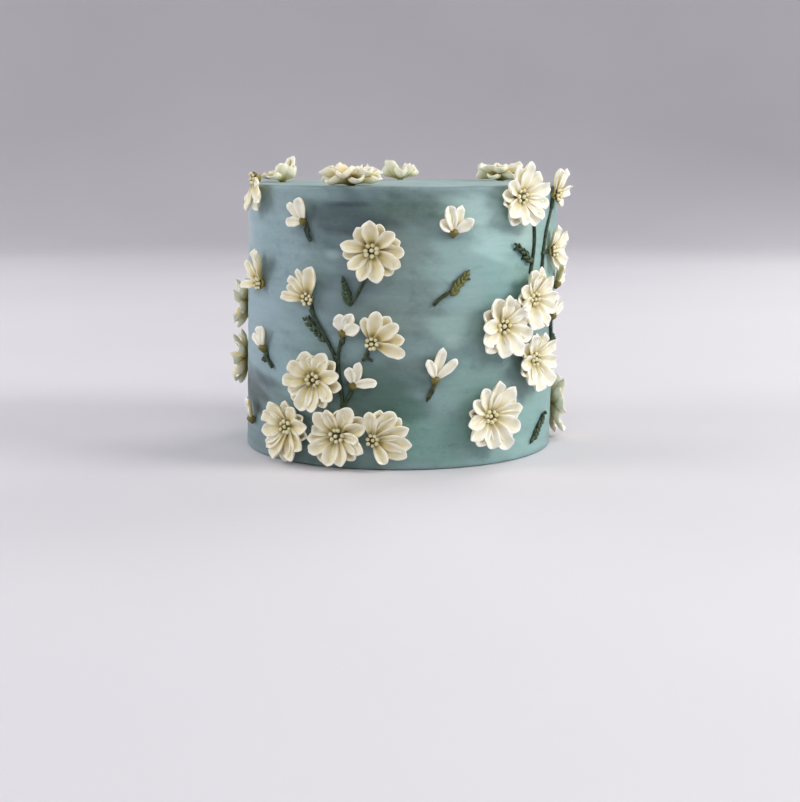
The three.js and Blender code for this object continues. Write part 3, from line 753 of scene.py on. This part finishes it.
def calyx_of(blossom):
    """The green cup that holds a bud's petals, drawn out towards the stem."""
    heading = np.mean([p["angle"] for p in blossom.petals]) + 180
    # The third value, a painted highlight, is lightest round the calyx's fullest middle and darker at both
    # ends.
    rows = [(0, 0.0, 0.0)]
    for k in range(1, 12):
        a = k / 12 * math.pi
        rows.append((math.sin(a) ** 0.8, 1 - math.cos(a), 0.15 + 0.7 * math.sin(a)))
    rows.append((0, 2.0, 0.6))
    points, faces, shade = turned_form(rows, 28, ridges=7, depth=0.06)
    u, v, w = points.T
    squeeze = 1.0 - 0.42 * smoothstep(0.8, 1.9, w)
    sink = 0.7 * smoothstep(0.9, 2.0, w)
    flat = np.stack([(w - 0.75) * 2.3, u * 2.25 * squeeze, 2.0 - sink + v * 2.0 * squeeze], 1) * MM
    return turned(flat, heading), faces, shade[:, None]


def make_blossom(blossom):
    """Two pieces: the petals, and the bead heart or the bud's calyx."""
    rng = seeded(blossom.name)
    shell = petals_of(blossom, rng)
    if blossom.kind != "bud":
        shell.add(*plinth(FORMS[blossom.kind]))
    points, faces, shades = shell.arrays()
    if blossom.kind == "bud":
        shades[:, 1] = 1 - BUD_WHITE * (1 - shades[:, 1])
    shades = np.column_stack([shades, np.full(len(shades), blossom.cream)])
    name, placed = blossom.name, blossom.place(points)
    add_piece(name + "_petals", placed, faces, petal_cream, shades, replaced=[name])
    if blossom.kind == "bud":
        points, faces, shades = calyx_of(blossom)
        add_piece(name + "_calyx", blossom.place(points), faces, calyx_olive, shades)
    else:
        points, faces, shades = heart_of(blossom, rng).arrays()
        add_piece(name + "_heart", blossom.place(points), faces, heart_beads, shades)


KINDS = ("daisy", "fan", "bud")
blossoms = [Blossom(name) for name in sorted(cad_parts) if name.split("_")[0] in KINDS]
for blossom in blossoms:
    make_blossom(blossom)


# ---- green sprays ----
SPRAY_VOXEL = 0.3 * MM
OLIVE_SPRAYS = ("spray_06", "spray_11")
LINK_REACH = 11.0 * MM     # a stem that ends nearer a heart than this is carried on to it
LINK_RADIUS = 0.85 * MM
SPRAY_WAVES = 10
SPRAY_ROUGHNESS = 0.07 * MM
SPRAY_FULLNESS = 0.13 * MM  # a stem is thickened by this all round


def links(node):
    """Closed tubes along the icing from the spray's nearest point to each heart close by."""
    shell = Shell()
    points = np.array([v.co for v in node.data.vertices], float)
    for blossom in (b for b in blossoms if not b.on_top):
        flat = off_side(points, blossom.azimuth)[:, :2] - blossom.heart
        nearest = flat[np.hypot(*flat.T).argmin()]
        gap = math.hypot(*nearest)
        if not LINK_RADIUS < gap < LINK_REACH:
            continue
        rows = [(0, -LINK_RADIUS, 0)]
        rows += [(LINK_RADIUS, t * (gap + 2 * LINK_RADIUS), 0) for t in np.linspace(0, 1, 8)]
        rows.append((0, gap + 3 * LINK_RADIUS, 0))
        tube, faces, shade = turned_form(rows, 12)
        across, up, along = tube.T
        heading = math.degrees(math.atan2(*nearest[::-1]))
        tube = turned(np.stack([along, across, up + LINK_RADIUS], 1), heading)
        shell.add(on_side(tube + [*blossom.heart, 0], blossom.azimuth), faces, shade[:, None])
    return shell


def spray_mesh(node):
    """The CAD spray and its links made round and soft: points, normals and faces of a fine remesh."""
    whole = bmesh.new()
    whole.from_mesh(node.data)
    shell = links(node)
    if shell.count:
        points, faces, _ = shell.arrays()
        corners = [whole.verts.new(point) for point in points]
        for face in faces:
            whole.faces.new([corners[i] for i in face])
    mesh = bpy.data.meshes.new(node.name + "_whole")
    whole.to_mesh(mesh)
    whole.free()
    copy = bpy.data.objects.new(node.name + "_soft", mesh)
    bpy.context.scene.collection.objects.link(copy)
    remesh = copy.modifiers.new("soft", "REMESH")
    remesh.mode = "VOXEL"
    remesh.voxel_size = SPRAY_VOXEL
    smooth = copy.modifiers.new("smooth", "SMOOTH")
    smooth.factor = 0.5
    smooth.iterations = 6
    evaluated = copy.evaluated_get(bpy.context.evaluated_depsgraph_get())
    mesh = bpy.data.meshes.new_from_object(evaluated)
    points = np.empty(len(mesh.vertices) * 3)
    mesh.vertices.foreach_get("co", points)
    normals = np.empty(len(mesh.vertices) * 3)
    mesh.vertices.foreach_get("normal", normals)
    faces = [list(p.vertices) for p in mesh.polygons]
    bpy.data.objects.remove(copy)
    return points.reshape(-1, 3), normals.reshape(-1, 3), faces


# The piped leaf on a spray runs between two places in the spray's unrolled box, given as parts of its width
# and height, with so many pairs of drops of a length in millimetres.
LEAVES = {
    "spray_01": ((0.3, 0.0), (0.04, 0.98), 5, 4.4),
    "spray_02": ((0.54, 0.64), (0.02, 0.9), 4, 4.2),
    "spray_05": ((0.5, 0.5), (0.06, 0.52), 2, 2.6),
    "spray_06": ((0.38, 0.26), (0.86, 0.96), 5, 5.4),
    "spray_07": ((0.9, 0.14), (0.03, 0.5), 4, 4.6),
    "spray_09": ((0.1, 0.08), (0.96, 0.96), 6, 4.4),
    "spray_10": ((0.3, 0.6), (0.95, 0.36), 2, 3.2),
    "spray_12": ((0.16, 0.42), (0.95, 0.02), 4, 4.4),
    "spray_13": ((0.22, 0.5), (0.97, 0.8), 4, 4.0),
    "spray_14": ((0.7, 0.5), (0.02, 0.06), 4, 4.4),
}
LEAF_LIFT = 1.05 * MM      # the drops stand clear of the piped rib


def drop_form(length, width, rise):
    """A piped drop that lies along +u: a round head at its root and a drawn-out point."""
    rows = [(0, 0.0, 0.3)]
    for k in range(1, 10):
        x = k / 10
        rows.append((math.sin(math.pi * x**0.72) ** 0.85, x, 0.35 + 0.65 * math.sin(math.pi * x)))
    rows.append((0, 1.0, 0.4))
    points, faces, shade = turned_form(rows, 14)
    across, up, along = points.T
    # Red is a painted highlight: lighter towards each drop's top, darker beneath.
    shade = np.stack([np.clip(0.5 + 0.5 * up, 0, 1), 0 * shade], 1)
    flat = np.stack([along * length, -across * width / 2, (up + 0.35) * rise * (1.1 - 0.5 * along)], 1)
    return flat, faces, shade


def leaf_of(name, azimuth, rng):
    """Drops in pairs along a leaf's rib, closer and smaller towards its tip."""
    shell = Shell()
    flat = off_side(node_points(name), azimuth)
    low, high = flat[:, :2].min(0), flat[:, :2].max(0)
    root, tip, pairs, length = LEAVES[name]
    a, b = low + root * (high - low), low + tip * (high - low)
    heading = math.atan2(*(b - a)[::-1])
    for k in range(2 * pairs + 1):
        last = k == 2 * pairs
        t = 1.0 if last else 0.16 + 0.72 * (k // 2 + 0.3 * (k % 2)) / pairs
        size = length * (1 - 0.35 * t) * rng.uniform(0.84, 1.16) * MM
        lean = 0 if last else (1 if k % 2 else -1) * rng.uniform(0.22, 0.6)
        width = rng.uniform(0.4, 0.54) * size
        points, faces, shade = drop_form(size, width, rng.uniform(0.9, 1.25) * MM)
        points = turned(points, math.degrees(heading + lean))
        back = size * 0.75 if last else 0.25 * size
        foot = a + t * (b - a) - back * np.array([math.cos(heading), math.sin(heading)])
        shade[:, 1] = rng.random()
        shell.add(points + [*foot, LEAF_LIFT], faces, shade)
    return shell


def make_spray(name):
    """A stem with gently uneven sides and, on most sprays, a leaf of piped drops."""
    rng = seeded(name)
    points, normals, faces = spray_mesh(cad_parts[name])
    centre = node_points(name).mean(0)
    azimuth = math.atan2(centre[0], -centre[1])
    flat = off_side(points, azimuth)
    waves = np.zeros(len(points))
    for _ in range(SPRAY_WAVES):
        direction = rng.normal(0, 1, 3)
        direction *= TURN / (rng.uniform(1.6, 4.5) * MM) / np.linalg.norm(direction)
        waves += np.sin(flat @ direction + rng.uniform(0, TURN))
    waves /= 4.5
    points = points + normals * (SPRAY_FULLNESS + SPRAY_ROUGHNESS * waves)[:, None]
    outward = off_side(points, azimuth)
    outward[:, 2] = outward[:, 2] * 1.12 - 0.35 * MM
    # Red is painted light and shade: lighter where the uneven sides bulge out, darker in their dips.
    shade = np.stack([0.5 + 0.5 * np.clip(waves, -1, 1), 0 * waves + rng.random()], 1)
    material = olive_green if name in OLIVE_SPRAYS else dark_green
    placed = on_side(outward, azimuth)
    add_piece(name + "_piped", placed, faces, material, shade, replaced=[name])
    if name in LEAVES:
        points, faces, shade = leaf_of(name, azimuth, rng).arrays()
        add_piece(name + "_leaf", on_side(points, azimuth), faces, material, shade)


for name in sorted(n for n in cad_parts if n.startswith("spray")):
    make_spray(name)


# ---- the icing ----
WALL_COLUMNS = 400
WALL_STEP = 1.0 * MM
TOP_RINGS = 45
RIM = 1.3 * MM             # the radius of the rounded rim
FOOT = 0.8 * MM            # the size of the bevel at the foot
RELIEF = 0.05 * MM
FINE_RELIEF = 0.02 * MM
TOP_RELIEF = 0.05 * MM
TOP_SWEEPS = 16
TOP_TONE = "#9fb5b4"


def ripples(azimuth, height, name, count, turns, wavelengths):
    """Smooth random waves that close on themselves round the cake: count waves, whose turns round it and
    wavelengths up it, in millimetres, lie between two limits."""
    rng = seeded(name)
    total = np.zeros(np.broadcast(azimuth, height).shape)
    for _ in range(count):
        k = rng.integers(turns[0], turns[1] + 1)
        wavelength = math.exp(rng.uniform(*np.log(wavelengths))) * MM
        total += np.cos(k * azimuth + rng.uniform(0, TURN) + TURN * height / wavelength)
    return total / math.sqrt(count / 2)


# Broad patches of the watercolour: azimuth and height of the middle, half width in degrees, half height in
# millimetres, colour, strength
BASE_TONE = "#80989a"
PATCHES = (
    (-70, 76, 30, 62, "#92a8b0", 1.0),
    (-84, 112, 16, 22, "#a8b8be", 0.8),
    (-46, 100, 14, 26, "#8aa1a8", 0.8),
    (-72, 30, 24, 12, "#566364", 0.95),
    (-58, 36, 9, 3, "#566768", 0.7),
    (-62, 8, 24, 9, "#728488", 0.75),
    (-50, 46, 14, 9, "#8ba4aa", 0.7),
    (-18, 113, 20, 17, "#4b5c60", 0.95),
    (-20, 121, 9, 1.6, "#37474b", 0.85),
    (-16, 84, 18, 20, "#72868a", 0.9),
    (3, 96, 14, 26, "#7e9391", 0.9),
    (4, 119, 16, 8, "#5a7069", 0.85),
    (1, 70, 16, 14, "#7b8f8d", 0.8),
    (-25, 98, 3.5, 2.6, "#93a6a8", 0.8),
    (-6, 36, 20, 15, "#4f6a62", 0.95),
    (14, 14, 24, 14, "#749891", 0.9),
    (-22, 6, 20, 8, "#6d8a86", 0.7),
    (8, 49, 12, 4, "#687a75", 0.6),
    (19, 66, 11, 9, "#93b0ac", 0.8),
    (22, 98, 13, 26, "#92afae", 0.9),
    (30, 118, 16, 8, "#a4c1bf", 0.8),
    (40, 86, 14, 22, "#88adab", 0.9),
    (62, 96, 20, 34, "#96b6b1", 0.9),
    (26, 38, 14, 18, "#7d9d99", 0.8),
    (62, 20, 24, 18, "#8aafaa", 0.9),
    (46, 5, 24, 5, "#95bab7", 0.7),
    (50, 31, 6, 6, "#78908d", 0.5),
    (33, 104, 9, 8, "#a9c9c7", 0.7),
    (48, 108, 8, 9, "#b8d3cc", 0.7),
    (20, 60, 5, 4, "#a3c0bc", 0.6),
    (3, 28, 9, 7, "#4a6e63", 0.7),
)
# Round the back the same tones go on, in patches of random place and size
BACK_TONES = ("#92a8b0", "#80989a", "#667d7c", "#8fb0ad", "#72868a", "#9cb6b4")
BACK_PATCHES = 20


def back_patches():
    """Rows like those of PATCHES for the back of the cake."""
    rng = seeded("back patches")
    for k in range(BACK_PATCHES):
        place = (rng.uniform(98, 262), rng.uniform(4, 125), rng.uniform(8, 26), rng.uniform(5, 26))
        yield (*place, BACK_TONES[k % len(BACK_TONES)], rng.uniform(0.5, 0.9))


def wall_tone(azimuth, height):
    """The watercolour of the wall, in linear light: patches with crumbled edges, one laid over another."""
    degrees = np.degrees(azimuth)
    tone = np.broadcast_to(linear(BASE_TONE), (*azimuth.shape, 3)).copy()
    for index, (at, high, wide, tall, colour, strength) in enumerate((*PATCHES, *back_patches())):
        wander = ripples(azimuth, height, f"patch{index}", 14, (0, 9), (7, 60))
        crumble = ripples(azimuth, height, f"crumble{index}", 18, (8, 44), (5, 22))
        away = (degrees - at + 180) % 360 - 180
        distance = np.hypot(away / wide, (height / MM - high) / tall) + 0.13 * wander + 0.07 * crumble
        mask = (strength * smoothstep(1.3, 0.4, distance))[..., None]
        tone = tone * (1 - mask) + linear(colour) * mask
    bands = ripples(azimuth, height, "bands", 26, (0, 5), (3, 34))
    return tone * (1 + 0.015 * bands[..., None])


def icing_profile():
    """(radius, height) rows from the foot up the wall, round the rim and in over the top, and how many of
    them come before the top."""
    profile = [(RADIUS - FOOT, 0.0), (RADIUS - 0.3 * FOOT, 0.3 * FOOT)]
    profile += [(RADIUS, z) for z in np.arange(FOOT, HEIGHT - RIM - 0.4 * WALL_STEP, WALL_STEP)]
    for k in range(6):
        a = k / 5 * math.pi / 2
        profile.append((RADIUS - RIM + RIM * math.cos(a), HEIGHT - RIM + RIM * math.sin(a)))
    wall_rows = len(profile)
    profile += [(r, HEIGHT) for r in np.linspace(RADIUS - RIM, 0, TOP_RINGS + 1)[1:-1]]
    return np.array(profile), wall_rows


def top_sweep(x, y):
    """Waves that run across the top, as a spatula leaves them."""
    rng = seeded("top sweeps")
    sweep = np.zeros_like(x)
    for _ in range(TOP_SWEEPS):
        wave = TURN / (rng.uniform(6, 40) * MM)
        lean = rng.normal(0.35, 0.12)
        sweep += np.cos(wave * (y * math.cos(lean) + x * math.sin(lean)) + rng.uniform(0, TURN))
    return sweep


def make_icing():
    """The iced cake in one closed piece, with a slight relief."""
    angles = TURN * np.arange(WALL_COLUMNS) / WALL_COLUMNS
    profile, wall_rows = icing_profile()
    radius, height = profile.T
    azimuth, z = np.meshgrid(angles, height)
    r = np.broadcast_to(radius[:, None], azimuth.shape).copy()
    relief = RELIEF * ripples(azimuth, z, "relief", 22, (0, 6), (6, 50))
    relief += FINE_RELIEF * ripples(azimuth, z, "fine relief", 24, (1, 14), (1.8, 6))
    on_wall = smoothstep(0, 4 * MM, z) * (0.4 + 0.6 * smoothstep(HEIGHT, HEIGHT - 5 * MM, z))
    r[:wall_rows] += (relief * on_wall)[:wall_rows]
    x, y = r * np.sin(azimuth), -r * np.cos(azimuth)
    sweep = top_sweep(x, y)
    inside = smoothstep(RADIUS, RADIUS - 4 * MM, r)
    z = z + TOP_RELIEF * sweep * inside * (z > HEIGHT - 0.2 * RIM)
    x = x + LEAN * z / HEIGHT
    points = np.stack([x, y, z], -1).reshape(-1, 3)
    tone = wall_tone(azimuth, z)
    top_tone = linear(TOP_TONE) * (1 + 0.015 * sweep[..., None])
    on_top = smoothstep(RADIUS - 1.0 * MM, RADIUS - 7 * MM, r) * (z > HEIGHT - 2 * RIM)
    tone = (tone * (1 - on_top[..., None]) + top_tone * on_top[..., None]).reshape(-1, 3)
    rows, columns = azimuth.shape
    grid = np.arange(rows * columns).reshape(rows, columns)
    after = np.roll(grid, -1, axis=1)
    quads = np.stack([grid[:-1], after[:-1], after[1:], grid[1:]], -1).reshape(-1, 4).tolist()
    centre_top, centre_foot = len(points), len(points) + 1
    points = np.vstack([points, [LEAN, 0, HEIGHT], [0, 0, 0]])
    tone = np.vstack([tone, tone[-1], tone[0]])
    quads += [[int(a), int(b), centre_top] for a, b in zip(grid[-1], after[-1])]
    quads += [[int(b), int(a), centre_foot] for a, b in zip(grid[0], after[0])]
    add_piece("icing", points, quads, buttercream, np.clip(tone, 0, 1), "tone", ["iced_cake"])


make_icing()

# ---- studio ----
STUDIO_RADIUS = 2.4
STUDIO_CORNER = 0.9
STUDIO_WALL = 2.6
STUDIO_SIDES = 96
FLOOR_DROP = 0.2 * MM      # the floor lies this far under the cake
LIGHT_AIM = 0.07           # the height that every light points at


def studio():
    """A pale round floor that sweeps up into a wall on every side."""
    flat = STUDIO_RADIUS - STUDIO_CORNER
    rows = [(flat * k / 12, 0.0) for k in range(1, 13)]
    for k in range(1, 17):
        a = k / 16 * math.pi / 2
        rows.append((flat + STUDIO_CORNER * math.sin(a), STUDIO_CORNER * (1 - math.cos(a))))
    rows.append((STUDIO_RADIUS, STUDIO_WALL))
    sides = STUDIO_SIDES
    points = [(0, 0, -FLOOR_DROP)]
    for r, z in rows:
        for k in range(sides):
            angle = TURN * k / sides
            points.append((r * math.sin(angle), r * math.cos(angle), z - FLOOR_DROP))
    faces = [[0, 1 + (k + 1) % sides, 1 + k] for k in range(sides)]
    for ring in range(len(rows) - 1):
        a, b = 1 + ring * sides, 1 + (ring + 1) * sides
        faces += [[a + k, a + (k + 1) % sides, b + (k + 1) % sides, b + k] for k in range(sides)]
    mesh = bpy.data.meshes.new("studio")
    mesh.from_pydata(points, [], faces)
    mesh.polygons.foreach_set("use_smooth", np.ones(len(mesh.polygons), bool))
    mesh.materials.append(studio_material())
    floor = bpy.data.objects.new("studio", mesh)
    bpy.context.scene.collection.objects.link(floor)
    floor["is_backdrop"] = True


def area_light(name, azimuth, elevation, distance, size, power, colour):
    """A soft rectangular light: degrees round from the front and up, metres, watts."""
    light = bpy.data.lights.new(name, "AREA")
    light.shape = "RECTANGLE"
    light.size, light.size_y = size
    light.energy = power
    light.color = colour
    lamp = bpy.data.objects.new(name, light)
    bpy.context.scene.collection.objects.link(lamp)
    a, e = math.radians(azimuth), math.radians(elevation)
    heading = np.array([math.cos(e) * math.sin(a), -math.cos(e) * math.cos(a), math.sin(e)])
    lamp.location = np.array([0, 0, LIGHT_AIM]) + distance * heading
    lamp.rotation_euler = (math.pi / 2 - e, 0, a)
    lamp.visible_camera = False


studio()
area_light("window_right", 74, 28, 1.5, (0.6, 0.55), 14.5, (1.0, 0.985, 0.95))
area_light("window_left", -80, 22, 1.5, (0.75, 0.7), 8.6, (0.985, 0.99, 1.0))
area_light("soft_front", 10, 42, 1.7, (1.0, 0.7), 6.2, (1.0, 0.99, 0.96))
area_light("back_right", 138, 30, 1.6, (0.8, 0.7), 8.5, (1.0, 0.99, 0.96))
area_light("back_left", -132, 28, 1.6, (0.8, 0.7), 5.5, (1.0, 0.99, 0.98))

AIR_COLOUR = (0.93, 0.95, 1.0, 1)
AIR_STRENGTH = 0.24

world = bpy.data.worlds.new("studio_air")
bpy.context.scene.world = world
world.use_nodes = True
background = world.node_tree.nodes["Background"]
background.inputs["Color"].default_value = AIR_COLOUR
background.inputs["Strength"].default_value = AIR_STRENGTH
bpy.context.scene.view_settings.view_transform = "Standard"

# ---- camera ----
CAMERA_AWAY = 767.9 * MM
CAMERA_HIGH = 147.9 * MM
CAMERA_ASIDE = -0.55 * MM
CAMERA_DOWN = 9.49         # degrees
CAMERA_LENS = 69.2
CAMERA_SENSOR = 36
CAMERA_SHIFT = 0.0037

camera = bpy.data.cameras.new("camera")
camera.lens = CAMERA_LENS
camera.sensor_width = CAMERA_SENSOR
camera.sensor_fit = "HORIZONTAL"
camera.shift_x = CAMERA_SHIFT
camera_object = bpy.data.objects.new("camera", camera)
bpy.context.scene.collection.objects.link(camera_object)
camera_object.location = (CAMERA_ASIDE, -CAMERA_AWAY, CAMERA_HIGH)
camera_object.rotation_euler = (math.radians(90 - CAMERA_DOWN), 0, 0)
bpy.context.scene.camera = camera_object

boxes = {"cad": cad_bounds, "visual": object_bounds()}
{key: [[float(x) for x in corner] for corner in box] for key, box in boxes.items()}
